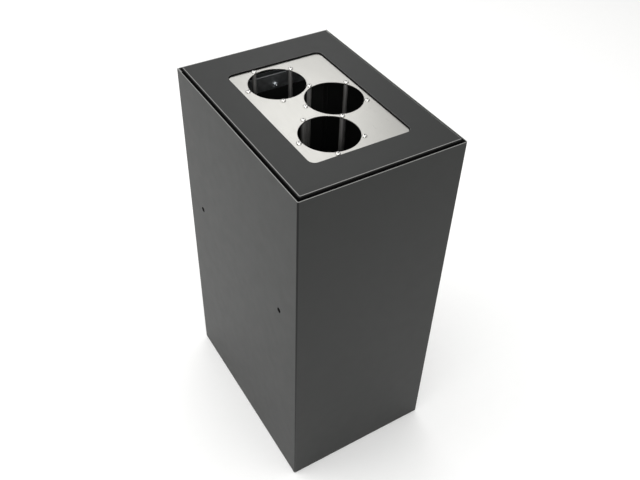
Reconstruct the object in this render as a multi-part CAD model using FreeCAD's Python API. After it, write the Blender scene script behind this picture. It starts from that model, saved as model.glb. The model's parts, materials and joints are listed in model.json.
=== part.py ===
import FreeCAD, Part
import math
import os

# Cup recycling station: a folded sheet-steel casing with a hinged top frame, and inside it a
# lift-out cage that stacks used cups under three round openings.
# Millimetres. X is the width, Y the depth (front at -Y, hinge at +Y), Z is up from the floor.

Vector = FreeCAD.Vector

# Overall
WIDTH = 320.0
DEPTH = 440.0
HEIGHT = 750.0          # floor to the top face of the lid frame
SHEET = 1.5             # casing and lid sheet
CASING_BEND_R = 3.0     # outside radius of the casing's upright bends
FLOOR_GAP = 2.0         # casing's lower edge above the floor
FOLD_R = 2.5            # outside radius of the small folds

# Lid frame
LID_GAP = 4.5           # lid edge to the inside of the casing
LID_PROUD = 4.0         # lid top above the casing's rim
LID_FLANGE = 24.0       # height of the lid's turned-down edge
LID_CORNER_R = 4.0
LID_EDGE_R = 3.0        # outside radius of the lid's folded top edge
LID_OPENING_R = 12.0
LID_OPENING_FLANGE = 8.0
CAGE_Y = -4.0           # middle of that opening, and of the cage below it

# Hinge at the rear edge
HINGE_SETBACK = 20.0    # hinge ends from the casing's sides
HINGE_KNUCKLES = 7
HINGE_AXIS_DROP = 5.0   # axis below the lid's top face
HINGE_LEAF = 1.0
HINGE_LEAF_HEIGHT = 18.0
HINGE_PIN_R = 1.0
HINGE_FIT = 0.05        # radial play of the pin
HINGE_PLAY = 0.25       # knuckle to the sheets beside it
HINGE_END_GAP = 0.4     # between neighbouring knuckles
HINGE_LEAF_NOTCH = 0.6  # leaf cut back below the other leaf's knuckles

# Cup openings and their guide rods
OPENING_D = 105.0
ROD_CLEARANCE = 1.0     # opening's edge to each rod
ROD_R = 4.0
RODS_PER_OPENING = 5
PLATE = 2.0
PLATE_MARGIN_X = 6.85   # outermost screw heads to the plate's sides
PLATE_MARGIN_Y = 0.85   # and to its front and rear edges
PLATE_GAP = 1.25        # plate edge to the lid's opening, all round
PLATE_RECESS = 3.0      # plate top below the lid's top face
DRAIN_R = 12.0

# Button-head screws
SCREW_R = 2.5
SCREW_LENGTH = 12.0
SCREW_HEAD_R = 4.75
SCREW_HEAD_H = 2.75
SCREW_CROWN_R = 6.6     # radius of the domed head
SCREW_HOLE_PLAY = 0.25
THREAD_PLAY = 0.05
THREAD_EXTRA = 3.0      # thread depth past the screw's tip
SOCKET_FLATS = 3.0
SOCKET_DEPTH = 1.5

# Base
PAN_Z = 10.0            # underside of the base pan
PAN_FLANGE = 21.5
PAN_CORNER_R = 6.0
RUNNER_WIDTH = 16.0
RUNNER_HEIGHT = 38.0
RUNNER_SETBACK = 8.75   # runner ends from the ends of the plate above
TRAY_SHEET = 1.2
TRAY_HEIGHT = 30.0
TRAY_SETBACK = 3.75
TRAY_CORNER_R = 8.0
TRAY_GAP = 3.0          # tray to each runner
PIN_SETBACK = 30.0      # locating pins from the runner's ends
PIN_R = 4.0
PIN_HEIGHT = 8.0
PIN_SHANK_R = 3.0
PIN_SHANK = 4.0
PIN_PLAY = 0.5
FOOT_INSET = 35.0
FOOT_R = 15.0
FOOT_EDGE = 1.5
STUD_R = 4.0
STUD_LENGTH = 11.0
STUD_HOLE_PLAY = 0.5
NUT_FLATS = 13.0
NUT_HEIGHT = 6.5

# Ledge that carries the closed lid
LEDGE_WIDTH = 18.0
LEDGE_END_GAP = 1.5
BUFFER_HEIGHT = 4.0
BUFFER_R = 4.5
BUFFER_STEM_R = 2.0
BUFFER_STEM = 5.0
BUFFER_OFFSET = 1.25    # buffer centre inwards of the lid's turned-down edge
BUFFER_SETBACK_Y = 40.0 # side buffers from the front and rear faces
BUFFER_SETBACK_X = 50.0 # front buffers from the side faces

# Rear panel and the angle that stiffens it under the hinge
REAR_FLANGE = 15.0
ANGLE_DROP = 60.0       # angle's top below the lid's top face
ANGLE_HEIGHT = 42.0
ANGLE_DEPTH = 15.0
ANGLE_SETBACK = 20.0    # angle ends from the casing's sides
ANGLE_STUD_RISE = 9.0   # stud line above the angle's lower edge
ANGLE_STUD_SETBACK = 14.0
ANGLE_STUD_COUNT = 4
ANGLE_STUD_LENGTH = 9.0
SMALL_NUT_FLATS = 8.0
SMALL_NUT_HEIGHT = 4.0

# Holes that link neighbouring stations, in the left side
LINK_Z = 455.0
LINK_PITCH = 317.0
LINK_R = 5.5

# Worked out
INSIDE_X = WIDTH / 2 - SHEET
INSIDE_Y = DEPTH / 2 - SHEET
RIM_Z = HEIGHT - LID_PROUD
LID_X = INSIDE_X - LID_GAP
LID_Y = INSIDE_Y - LID_GAP
LID_BOTTOM_Z = HEIGHT - LID_FLANGE
LEDGE_Z = LID_BOTTOM_Z - BUFFER_HEIGHT
PAN_FLOOR_Z = PAN_Z + SHEET
PAN_TOP_Z = PAN_Z + PAN_FLANGE
RUNNER_TOP_Z = PAN_FLOOR_Z + RUNNER_HEIGHT
PLATE_TOP_Z = HEIGHT - PLATE_RECESS
ROD_TOP_Z = PLATE_TOP_Z - PLATE
ROD_BOTTOM_Z = RUNNER_TOP_Z + PLATE
BUFFER_INSET = SHEET + LID_GAP + SHEET / 2 + BUFFER_OFFSET
HINGE_LENGTH = WIDTH - 2 * HINGE_SETBACK
HINGE_Y = INSIDE_Y - LID_GAP / 2
HINGE_Z = HEIGHT - HINGE_AXIS_DROP
KNUCKLE_R = LID_GAP / 2 - HINGE_PLAY
ANGLE_LENGTH = WIDTH - 2 * ANGLE_SETBACK
ANGLE_TOP_Z = HEIGHT - ANGLE_DROP
ANGLE_STUD_Z = ANGLE_TOP_Z - ANGLE_HEIGHT + ANGLE_STUD_RISE

# Each opening's rods stand on a circle, one pointing to -X. Neighbouring openings share a rod,
# which sets the step from one opening to the next. The shift centres the outermost rods.
ROD_CIRCLE_R = OPENING_D / 2 + ROD_CLEARANCE + ROD_R
ROD_STEP = 2 * math.pi / RODS_PER_OPENING
STEP_X = ROD_CIRCLE_R * (math.cos(ROD_STEP / 2) + math.cos(ROD_STEP)) / 2
STEP_Y = ROD_CIRCLE_R * (math.sin(ROD_STEP / 2) + math.sin(ROD_STEP))
SHIFT_X = ROD_CIRCLE_R * (1 - math.cos(ROD_STEP / 2)) / 2

# The plate reaches past the outermost rods. The runners stand midway between two rows of them.
PLATE_X = STEP_X - SHIFT_X + ROD_CIRCLE_R + SCREW_HEAD_R + PLATE_MARGIN_X
PLATE_Y = STEP_Y + ROD_CIRCLE_R * math.sin(ROD_STEP) + SCREW_HEAD_R + PLATE_MARGIN_Y
RUNNER_X = STEP_X - SHIFT_X + ROD_CIRCLE_R * (1 + math.cos(ROD_STEP)) / 2
RUNNER_LENGTH = 2 * (PLATE_Y - RUNNER_SETBACK)
TRAY_LENGTH = 2 * (PLATE_Y - TRAY_SETBACK)


def opening_centres():
    """The three openings, zigzag along Y: rear, middle, front."""
    return [(SHIFT_X - STEP_X, CAGE_Y + STEP_Y), (SHIFT_X + STEP_X, CAGE_Y),
            (SHIFT_X - STEP_X, CAGE_Y - STEP_Y)]


def rod_places():
    """Every rod's centre, with the shared ones counted once."""
    places = []
    for centre_x, centre_y in opening_centres():
        for number in range(RODS_PER_OPENING):
            angle = math.pi + number * ROD_STEP
            x = centre_x + ROD_CIRCLE_R * math.cos(angle)
            y = centre_y + ROD_CIRCLE_R * math.sin(angle)
            if all(math.hypot(x - px, y - py) > ROD_R for px, py in places):
                places.append((x, y))
    return places


def in_space(plane, u, v, w):
    """A point of a section drawn in XY, XZ or YZ, at distance w along the third axis."""
    if plane == "XY":
        return Vector(u, v, w)
    if plane == "XZ":
        return Vector(u, w, v)
    return Vector(w, u, v)


def prism(corners, plane, low, high):
    """A closed outline of (u, v, corner radius) points, extruded from low to high."""
    edges = []
    ends = []
    for number, (u, v, radius) in enumerate(corners):
        corner = in_space(plane, u, v, low)
        before = in_space(plane, corners[number - 1][0], corners[number - 1][1], low) - corner
        after_corner = corners[(number + 1) % len(corners)]
        after = in_space(plane, after_corner[0], after_corner[1], low) - corner
        before.normalize()
        after.normalize()
        if radius == 0:
            ends.append((corner, corner))
            continue
        half_angle = before.getAngle(after) / 2
        start = corner + before * (radius / math.tan(half_angle))
        finish = corner + after * (radius / math.tan(half_angle))
        towards_centre = (before + after).normalize()
        middle = corner + towards_centre * (radius / math.sin(half_angle) - radius)
        edges.append(Part.Arc(start, middle, finish).toShape())
        ends.append((start, finish))
    for number, (start, _) in enumerate(ends):
        previous = ends[number - 1][1]
        if previous.distanceToPoint(start) > 1e-6:
            edges.append(Part.makeLine(previous, start))
    wire = Part.Wire(Part.__sortEdges__(edges))
    return Part.Face(wire).extrude(in_space(plane, 0, 0, high - low))


def rectangle(half_x, half_y, radius, middle_y=0.0):
    """Corners of a rounded rectangle, centred in X."""
    front = middle_y - half_y
    rear = middle_y + half_y
    return [(-half_x, front, radius), (half_x, front, radius),
            (half_x, rear, radius), (-half_x, rear, radius)]


def box(x_low, x_high, y_low, y_high, z_low, z_high):
    size = (x_high - x_low, y_high - y_low, z_high - z_low)
    return Part.makeBox(size[0], size[1], size[2], Vector(x_low, y_low, z_low))


def rod(x, y, z_low, z_high, radius):
    return Part.makeCylinder(radius, z_high - z_low, Vector(x, y, z_low))


def hexagon(flats, height):
    """A hexagonal prism on the origin, rising along Z."""
    corner_r = flats / math.sqrt(3)
    corners = []
    for number in range(6):
        angle = number * math.pi / 3
        corners.append((corner_r * math.cos(angle), corner_r * math.sin(angle), 0))
    return prism(corners, "XY", 0, height)


def u_section(low, high, base, mouth, bend_r):
    """Outline of a sheet folded to a U: walls at low and high, base and mouth along v."""
    inwards = SHEET if mouth > base else -SHEET
    inner_r = bend_r - SHEET
    return [(low, mouth, 0), (low, base, bend_r), (high, base, bend_r), (high, mouth, 0),
            (high - SHEET, mouth, 0), (high - SHEET, base + inwards, inner_r),
            (low + SHEET, base + inwards, inner_r), (low + SHEET, mouth, 0)]


def l_section(corner_u, corner_v, end_u, end_v):
    """Outline of a sheet folded to an L, its outer corner at (corner_u, corner_v)."""
    inner_u = corner_u + math.copysign(SHEET, end_u - corner_u)
    inner_v = corner_v + math.copysign(SHEET, end_v - corner_v)
    return [(corner_u, corner_v, FOLD_R), (end_u, corner_v, 0), (end_u, inner_v, 0),
            (inner_u, inner_v, FOLD_R - SHEET), (inner_u, end_v, 0), (corner_u, end_v, 0)]


def edges_at(shape, z):
    """The edges of a shape that lie flat at height z."""
    found = []
    for edge in shape.Edges:
        bounds = edge.BoundBox
        if abs(bounds.ZMin - z) < 1e-4 and abs(bounds.ZMax - z) < 1e-4:
            found.append(edge)
    return found


def open_tray(half_x, half_y, corner_r, z_low, height, wall):
    """A tray with rounded corners and a rounded bottom edge, open at the top."""
    outside = prism(rectangle(half_x, half_y, corner_r), "XY", z_low, z_low + height)
    outside = outside.makeFillet(FOLD_R, edges_at(outside, z_low))
    inside = prism(rectangle(half_x - wall, half_y - wall, corner_r - wall),
                   "XY", z_low + wall, z_low + height + wall)
    inside = inside.makeFillet(FOLD_R - wall, edges_at(inside, z_low + wall))
    return outside.cut(inside)


def four_corners(x, y):
    return [(side_x * x, side_y * y) for side_x in (-1, 1) for side_y in (-1, 1)]


def foot_places():
    return four_corners(WIDTH / 2 - FOOT_INSET, DEPTH / 2 - FOOT_INSET)


def pin_places():
    return [(x, CAGE_Y + y) for x, y in four_corners(RUNNER_X, RUNNER_LENGTH / 2 - PIN_SETBACK)]


def buffer_places():
    """Six buffers: two on each side ledge and two on the front ledge."""
    places = four_corners(WIDTH / 2 - BUFFER_INSET, DEPTH / 2 - BUFFER_SETBACK_Y)
    for side in (-1, 1):
        places.append((side * (WIDTH / 2 - BUFFER_SETBACK_X), -DEPTH / 2 + BUFFER_INSET))
    return places


def angle_stud_places():
    first = -ANGLE_LENGTH / 2 + ANGLE_STUD_SETBACK
    pitch = -2 * first / (ANGLE_STUD_COUNT - 1)
    return [first + number * pitch for number in range(ANGLE_STUD_COUNT)]


def casing_wrap():
    """One sheet folded round the front and both sides, with the link holes on the left."""
    section = u_section(-WIDTH / 2, WIDTH / 2, -DEPTH / 2, DEPTH / 2, CASING_BEND_R)
    wrap = prism(section, "XY", FLOOR_GAP, RIM_Z)
    for side in (-1, 1):
        start = Vector(-WIDTH / 2 - SHEET, side * LINK_PITCH / 2, LINK_Z)
        wrap = wrap.cut(Part.makeCylinder(LINK_R, 3 * SHEET, start, Vector(1, 0, 0)))
    return wrap


def rear_panel():
    """The rear sheet, with edges folded forward inside the wrap, clear of the base pan."""
    section = u_section(-INSIDE_X, INSIDE_X, DEPTH / 2, INSIDE_Y - REAR_FLANGE, FOLD_R)
    panel = prism(section, "XY", FLOOR_GAP, RIM_Z)
    return panel.cut(box(-WIDTH, WIDTH, 0, INSIDE_Y, 0, PAN_TOP_Z + SHEET))


def base_pan():
    pan = open_tray(INSIDE_X, INSIDE_Y, PAN_CORNER_R, PAN_Z, PAN_FLANGE, SHEET)
    for x, y in foot_places():
        pan = pan.cut(rod(x, y, 0, PAN_TOP_Z, STUD_R + STUD_HOLE_PLAY))
    return pan


def foot(x, y):
    """A glide with its stud moulded in."""
    pad = rod(x, y, 0, PAN_Z, FOOT_R)
    pad = pad.makeChamfer(FOOT_EDGE, edges_at(pad, 0))
    return pad.fuse(rod(x, y, PAN_Z, PAN_Z + STUD_LENGTH, STUD_R)).removeSplitter()


def foot_nut(x, y):
    nut = hexagon(NUT_FLATS, NUT_HEIGHT)
    nut.translate(Vector(x, y, PAN_FLOOR_Z))
    return nut.cut(rod(x, y, 0, HEIGHT, STUD_R + THREAD_PLAY))


def cage_runner(centre_x):
    """An upturned channel on the base pan that the cage stands on."""
    half = RUNNER_WIDTH / 2
    section = u_section(centre_x - half, centre_x + half, RUNNER_TOP_Z, PAN_FLOOR_Z, FOLD_R)
    runner = prism(section, "XZ", CAGE_Y - RUNNER_LENGTH / 2, CAGE_Y + RUNNER_LENGTH / 2)
    for x, y in pin_places():
        runner = runner.cut(rod(x, y, RUNNER_TOP_Z - PIN_SHANK, HEIGHT, PIN_SHANK_R + THREAD_PLAY))
    return runner


def locating_pin(x, y):
    """A stepped pin with a rounded top that centres the cage on its runner."""
    head = rod(x, y, RUNNER_TOP_Z, RUNNER_TOP_Z + PIN_HEIGHT, PIN_R)
    head = head.makeFillet(PIN_R / 2, edges_at(head, RUNNER_TOP_Z + PIN_HEIGHT))
    shank = rod(x, y, RUNNER_TOP_Z - PIN_SHANK, RUNNER_TOP_Z, PIN_SHANK_R)
    return head.fuse(shank).removeSplitter()


def drip_tray():
    """A tray between the runners, under the drain holes."""
    half = RUNNER_X - RUNNER_WIDTH / 2 - TRAY_GAP
    tray = open_tray(half, TRAY_LENGTH / 2, TRAY_CORNER_R, PAN_FLOOR_Z, TRAY_HEIGHT, TRAY_SHEET)
    tray.translate(Vector(0, CAGE_Y, 0))
    return tray


def side_ledge(side):
    """Angle along one side wall; the lid's buffers stand on its flat."""
    section = l_section(side * INSIDE_X, LEDGE_Z, side * (INSIDE_X - LEDGE_WIDTH),
                        LEDGE_Z - LEDGE_WIDTH)
    front = -INSIDE_Y + CASING_BEND_R
    rear = INSIDE_Y - REAR_FLANGE - LEDGE_END_GAP
    return drill_for_buffers(prism(section, "XZ", front, rear))


def front_ledge():
    half = INSIDE_X - LEDGE_WIDTH - LEDGE_END_GAP
    section = l_section(-INSIDE_Y, LEDGE_Z, -INSIDE_Y + LEDGE_WIDTH, LEDGE_Z - LEDGE_WIDTH)
    return drill_for_buffers(prism(section, "YZ", -half, half))


def drill_for_buffers(ledge):
    for x, y in buffer_places():
        ledge = ledge.cut(rod(x, y, LEDGE_Z - 2 * SHEET, HEIGHT, BUFFER_STEM_R + THREAD_PLAY))
    return ledge


def lid_buffer(x, y):
    cap = rod(x, y, LEDGE_Z, LID_BOTTOM_Z, BUFFER_R)
    return cap.fuse(rod(x, y, LEDGE_Z - BUFFER_STEM, LEDGE_Z, BUFFER_STEM_R)).removeSplitter()


def rear_angle():
    """Angle bolted to the rear panel below the hinge."""
    section = l_section(INSIDE_Y, ANGLE_TOP_Z, INSIDE_Y - ANGLE_DEPTH, ANGLE_TOP_Z - ANGLE_HEIGHT)
    angle = prism(section, "YZ", -ANGLE_LENGTH / 2, ANGLE_LENGTH / 2)
    for x in angle_stud_places():
        angle = angle.cut(weld_stud(x, SCREW_R + SCREW_HOLE_PLAY))
    return angle


def weld_stud(x, radius):
    """A stud standing inwards from the rear panel."""
    start = Vector(x, INSIDE_Y - ANGLE_STUD_LENGTH, ANGLE_STUD_Z)
    return Part.makeCylinder(radius, ANGLE_STUD_LENGTH, start, Vector(0, 1, 0))


def angle_nut(x):
    nut = hexagon(SMALL_NUT_FLATS, SMALL_NUT_HEIGHT)
    nut.rotate(Vector(0, 0, 0), Vector(1, 0, 0), 90)
    nut.translate(Vector(x, INSIDE_Y - SHEET, ANGLE_STUD_Z))
    return nut.cut(weld_stud(x, SCREW_R + THREAD_PLAY))


def hinge_leaf(sheet_y, knuckle_numbers):
    """A leaf of the rear hinge: a strip at sheet_y with every other knuckle."""
    low_z = HINGE_Z - HINGE_LEAF_HEIGHT
    notch_z = HINGE_Z - KNUCKLE_R - HINGE_LEAF_NOTCH
    leaf = box(-HINGE_LENGTH / 2, HINGE_LENGTH / 2, sheet_y, sheet_y + HINGE_LEAF, low_z, notch_z)
    pitch = HINGE_LENGTH / HINGE_KNUCKLES
    bore_start = Vector(-HINGE_LENGTH, HINGE_Y, HINGE_Z)
    along = Vector(1, 0, 0)
    for number in knuckle_numbers:
        start = -HINGE_LENGTH / 2 + number * pitch + HINGE_END_GAP / 2
        finish = start + pitch - HINGE_END_GAP
        leaf = leaf.fuse(box(start, finish, sheet_y, sheet_y + HINGE_LEAF, notch_z, HINGE_Z))
        knuckle = Part.makeCylinder(KNUCKLE_R, finish - start, Vector(start, HINGE_Y, HINGE_Z), along)
        leaf = leaf.fuse(knuckle)
    bore = Part.makeCylinder(HINGE_PIN_R + HINGE_FIT, 2 * HINGE_LENGTH, bore_start, along)
    return leaf.removeSplitter().cut(bore)


def hinge_pin():
    start = Vector(-HINGE_LENGTH / 2, HINGE_Y, HINGE_Z)
    return Part.makeCylinder(HINGE_PIN_R, HINGE_LENGTH, start, Vector(1, 0, 0))


def lid_frame():
    """The folded lid, with its turned-down edges and the flanged opening for the plate."""
    outside = prism(rectangle(LID_X, LID_Y, LID_CORNER_R), "XY", LID_BOTTOM_Z, HEIGHT)
    outside = outside.makeFillet(LID_EDGE_R, edges_at(outside, HEIGHT))
    under_z = HEIGHT - SHEET
    inside = prism(rectangle(LID_X - SHEET, LID_Y - SHEET, LID_CORNER_R - SHEET),
                   "XY", LID_BOTTOM_Z - SHEET, under_z)
    inside = inside.makeFillet(LID_EDGE_R - SHEET, edges_at(inside, under_z))
    lid = outside.cut(inside)
    half_x = PLATE_X + PLATE_GAP
    half_y = PLATE_Y + PLATE_GAP
    collar = prism(rectangle(half_x + SHEET, half_y + SHEET, LID_OPENING_R + SHEET, CAGE_Y),
                   "XY", HEIGHT - LID_OPENING_FLANGE, under_z)
    opening = prism(rectangle(half_x, half_y, LID_OPENING_R, CAGE_Y),
                    "XY", LID_BOTTOM_Z, HEIGHT + SHEET)
    return lid.fuse(collar).removeSplitter().cut(opening)


def top_plate():
    """The recessed plate with the three cup openings."""
    corner_r = LID_OPENING_R - PLATE_GAP
    plate = prism(rectangle(PLATE_X, PLATE_Y, corner_r, CAGE_Y), "XY", ROD_TOP_Z, PLATE_TOP_Z)
    for x, y in opening_centres():
        plate = plate.cut(rod(x, y, 0, HEIGHT, OPENING_D / 2))
    return drill_for_screws(plate)


def bottom_plate():
    """The cage's lower plate, with drain holes and holes for the locating pins."""
    corner_r = LID_OPENING_R - PLATE_GAP
    plate = prism(rectangle(PLATE_X, PLATE_Y, corner_r, CAGE_Y), "XY", RUNNER_TOP_Z, ROD_BOTTOM_Z)
    for x, y in opening_centres():
        plate = plate.cut(rod(x, y, 0, HEIGHT, DRAIN_R))
    for x, y in pin_places():
        plate = plate.cut(rod(x, y, 0, HEIGHT, PIN_R + PIN_PLAY))
    return drill_for_screws(plate)


def drill_for_screws(plate):
    for x, y in rod_places():
        plate = plate.cut(rod(x, y, 0, HEIGHT, SCREW_R + SCREW_HOLE_PLAY))
    return plate


def guide_rod(x, y):
    """A rod threaded at both ends."""
    depth = SCREW_LENGTH - PLATE + THREAD_EXTRA
    bar = rod(x, y, ROD_BOTTOM_Z, ROD_TOP_Z, ROD_R)
    bar = bar.cut(rod(x, y, ROD_TOP_Z - depth, ROD_TOP_Z, SCREW_R + THREAD_PLAY))
    return bar.cut(rod(x, y, ROD_BOTTOM_Z, ROD_BOTTOM_Z + depth, SCREW_R + THREAD_PLAY))


def button_screw():
    """A domed socket screw, its head's seat on the origin and its shank down -Z."""
    crown = Part.makeSphere(SCREW_CROWN_R, Vector(0, 0, SCREW_HEAD_H - SCREW_CROWN_R))
    head = rod(0, 0, 0, SCREW_HEAD_H, SCREW_HEAD_R).common(crown)
    socket = hexagon(SOCKET_FLATS, SOCKET_DEPTH)
    socket.translate(Vector(0, 0, SCREW_HEAD_H - SOCKET_DEPTH))
    shank = rod(0, 0, -SCREW_LENGTH, 0, SCREW_R)
    return head.cut(socket).fuse(shank).removeSplitter()


def cage_screws(seat_z, upside_down):
    screws = []
    for x, y in rod_places():
        screw = button_screw()
        if upside_down:
            screw.rotate(Vector(0, 0, 0), Vector(1, 0, 0), 180)
        screw.translate(Vector(x, y, seat_z))
        screws.append(screw)
    return screws


def save(name, pieces):
    shape = pieces[0] if len(pieces) == 1 else Part.makeCompound(pieces)
    shape.exportStep(os.path.join("parts", name + ".step"))


def main():
    os.makedirs("parts", exist_ok=True)
    save("casing_wrap", [casing_wrap()])
    save("rear_panel", [rear_panel()])
    save("base_pan", [base_pan()])
    save("feet", [foot(x, y) for x, y in foot_places()])
    save("foot_nuts", [foot_nut(x, y) for x, y in foot_places()])
    save("left_runner", [cage_runner(-RUNNER_X)])
    save("right_runner", [cage_runner(RUNNER_X)])
    save("locating_pins", [locating_pin(x, y) for x, y in pin_places()])
    save("drip_tray", [drip_tray()])
    save("left_ledge", [side_ledge(-1)])
    save("right_ledge", [side_ledge(1)])
    save("front_ledge", [front_ledge()])
    save("lid_buffers", [lid_buffer(x, y) for x, y in buffer_places()])
    save("rear_angle", [rear_angle()])
    save("angle_studs", [weld_stud(x, SCREW_R) for x in angle_stud_places()])
    save("angle_nuts", [angle_nut(x) for x in angle_stud_places()])
    fixed_leaf_y = INSIDE_Y - HINGE_LEAF
    save("hinge_fixed_leaf", [hinge_leaf(fixed_leaf_y, range(0, HINGE_KNUCKLES, 2))])
    save("hinge_moving_leaf", [hinge_leaf(LID_Y, range(1, HINGE_KNUCKLES, 2))])
    save("hinge_pin", [hinge_pin()])
    save("lid_frame", [lid_frame()])
    save("top_plate", [top_plate()])
    save("bottom_plate", [bottom_plate()])
    for number, (x, y) in enumerate(rod_places(), start=1):
        save("guide_rod_%02d" % number, [guide_rod(x, y)])
    save("top_screws", cage_screws(PLATE_TOP_Z, False))
    save("bottom_screws", cage_screws(RUNNER_TOP_Z, True))


main()
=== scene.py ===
import json
import math

import bmesh
import bpy
from mathutils import Matrix, Vector


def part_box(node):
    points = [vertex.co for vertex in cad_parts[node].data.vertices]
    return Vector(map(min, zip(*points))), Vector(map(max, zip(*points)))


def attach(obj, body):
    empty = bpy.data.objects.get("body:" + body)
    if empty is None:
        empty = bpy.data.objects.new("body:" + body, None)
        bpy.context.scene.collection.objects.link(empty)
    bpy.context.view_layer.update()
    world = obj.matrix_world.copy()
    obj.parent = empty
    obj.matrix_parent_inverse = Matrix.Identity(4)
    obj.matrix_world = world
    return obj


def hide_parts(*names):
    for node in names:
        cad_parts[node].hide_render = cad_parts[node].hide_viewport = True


# Cup recycling station: finishes, rounded sheet edges, fastenings and a small studio, built round
# the station's construction. Metres, the floor at Z 0, the front at -Y and the hinge at +Y.

bl_info = {
    "name": "Cup recycling station",
    "version": (1, 0, 0),
    "blender": (4, 5, 0),
    "location": "3D View > Sidebar > Station",
    "description": "Builds the visible pieces of a cup recycling station and its studio",
    "category": "Object",
}

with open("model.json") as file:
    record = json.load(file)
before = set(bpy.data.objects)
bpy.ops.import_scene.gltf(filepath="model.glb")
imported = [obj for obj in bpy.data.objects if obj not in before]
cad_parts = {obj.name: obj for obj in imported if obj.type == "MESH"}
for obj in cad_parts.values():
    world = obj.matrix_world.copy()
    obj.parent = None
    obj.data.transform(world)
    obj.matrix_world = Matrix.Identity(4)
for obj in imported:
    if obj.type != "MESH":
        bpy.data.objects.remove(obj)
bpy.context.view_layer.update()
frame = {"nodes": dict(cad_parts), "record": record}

RODS = sorted(name for name in frame["nodes"] if name.startswith("guide_rod_"))
CHANNELS = ("rear_cup_channel", "middle_cup_channel", "front_cup_channel")
WELD = 1e-6             # vertices closer than this are one
FLAT = 0.9999           # a normal this near an axis belongs to a flat of the sheet
MM = 0.001
SCREW_TURN = math.radians(23)   # each screw's socket against the one before
PAINTED_HIGHLIGHT = "rubbed"       # mesh attribute: where a paler highlight is painted on the coat's rims and folds
PAINTED_LIGHT = "gathered"   # mesh attribute: where painted shade (coat's bends and lid edges, screw sockets) and a painted highlight (zinc angle's fold) are laid


# Colours

def linear(colour):
    """A hex sRGB colour as linear red, green and blue."""
    channels = []
    for shift in (16, 8, 0):
        value = (colour >> shift & 255) / 255
        channels.append(value / 12.92 if value <= 0.04045 else ((value + 0.055) / 1.055) ** 2.4)
    return tuple(channels)


def colour_property(name, description, colour):
    return bpy.props.FloatVectorProperty(
        name=name, description=description, subtype="COLOR", size=3, min=0, max=1,
        default=linear(colour))


def length_property(name, description, default):
    return bpy.props.FloatProperty(
        name=name, description=description, unit="LENGTH", min=0, precision=5, default=default)


class StationFinishes(bpy.types.PropertyGroup):
    """Colours of the finishes."""
    powder_coat: colour_property(
        "Powder coat", "Anthracite powder coat of the casing and lid", 0x242524)
    # Painted highlight: a paler coat colour laid along the rims and the lid's fold
    edge_highlight: colour_property(
        "Painted edge highlight", "Paler coat painted along the rims and the lid's fold as a highlight", 0x80807E)
    # Painted shade: a near-black coat colour for the bends and the lid's turned-down edges
    bend_shade: colour_property(
        "Painted bend shade", "Near-black painted shade on the casing's bends and the lid's turned-down edges", 0x0B0B0B)
    brushed_steel: colour_property(
        "Brushed stainless steel", "Top and bottom plates of the cage", 0xACABA7)
    polished_steel: colour_property(
        "Polished stainless steel", "Rods, screws, pins and hinge", 0xD2D1CE)
    # Painted shade: a dark colour for the screws' hex sockets
    socket_shade: colour_property(
        "Socket shade", "Painted shade in the screws' sockets", 0x2A2826)
    zinc: colour_property(
        "Zinc plating", "Runners, rear angle, studs and nuts", 0xD9DCDE)
    tray_plastic: colour_property(
        "Tray plastic", "Moulded polypropylene of the drip tray", 0x55585A)
    foot_plastic: colour_property(
        "Foot plastic", "Moulded nylon of the glides", 0x1C1C1D)
    buffer_rubber: colour_property(
        "Buffer rubber", "Rubber of the lid buffers", 0x171717)


class StationSizes(bpy.types.PropertyGroup):
    """Sizes that the construction's boxes don't give."""
    sheet: length_property("Sheet", "Thickness of the coated sheet", 0.0015)
    casing_bend: length_property("Casing bend", "Outside radius of the casing's bends", 0.003)
    fold: length_property("Fold", "Outside radius of the small folds", 0.0025)
    cut_edge: length_property("Cut edge", "Rounding of a coated cut edge", 0.00035)
    lid_corner: length_property("Lid corner", "Radius of the lid's corners in plan", 0.004)
    lid_edge: length_property("Lid edge", "Outside radius of the lid's folded edge", 0.003)
    plate_gap: length_property("Plate gap", "Top plate to the edge of the lid's opening", 0.00125)
    opening_corner: length_property("Opening corner", "Radius of the lid opening's corners", 0.012)
    collar: length_property("Collar", "Depth of the collar under the lid's opening", 0.008)
    cup_opening: length_property("Cup opening", "Diameter of a cup opening", 0.105)
    drain_hole: length_property("Drain hole", "Diameter of a drain hole", 0.024)
    plate_edge: length_property("Plate edge", "Deburred edge of the stainless plates", 0.00025)
    screw_hole: length_property("Screw hole", "Diameter of a screw's hole in a plate", 0.0055)
    pin_hole: length_property("Pin hole", "Diameter of a locating pin's hole", 0.009)
    screw_head: length_property("Screw head", "Diameter of a button head", 0.0095)
    screw_crown: length_property("Screw crown", "Height of a button head", 0.00275)
    screw_shank: length_property("Screw shank", "Diameter of a screw's thread", 0.005)
    socket_flats: length_property("Socket", "Width across the flats of a hex socket", 0.003)
    socket_depth: length_property("Socket depth", "Depth of a hex socket", 0.0015)
    rod_chamfer: length_property("Rod chamfer", "Chamfer at a rod's ends", 0.0005)
    rod_tap: length_property("Rod tap", "Depth of the tapped hole at a rod's ends", 0.013)
    foot_stud: length_property("Foot stud", "Diameter of a glide's stud", 0.008)
    stud_pitch: length_property("Thread pitch", "Pitch of the studs' threads", 0.001)
    stud_play: length_property("Stud play", "Round each stud in the rear angle", 0.00025)


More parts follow.
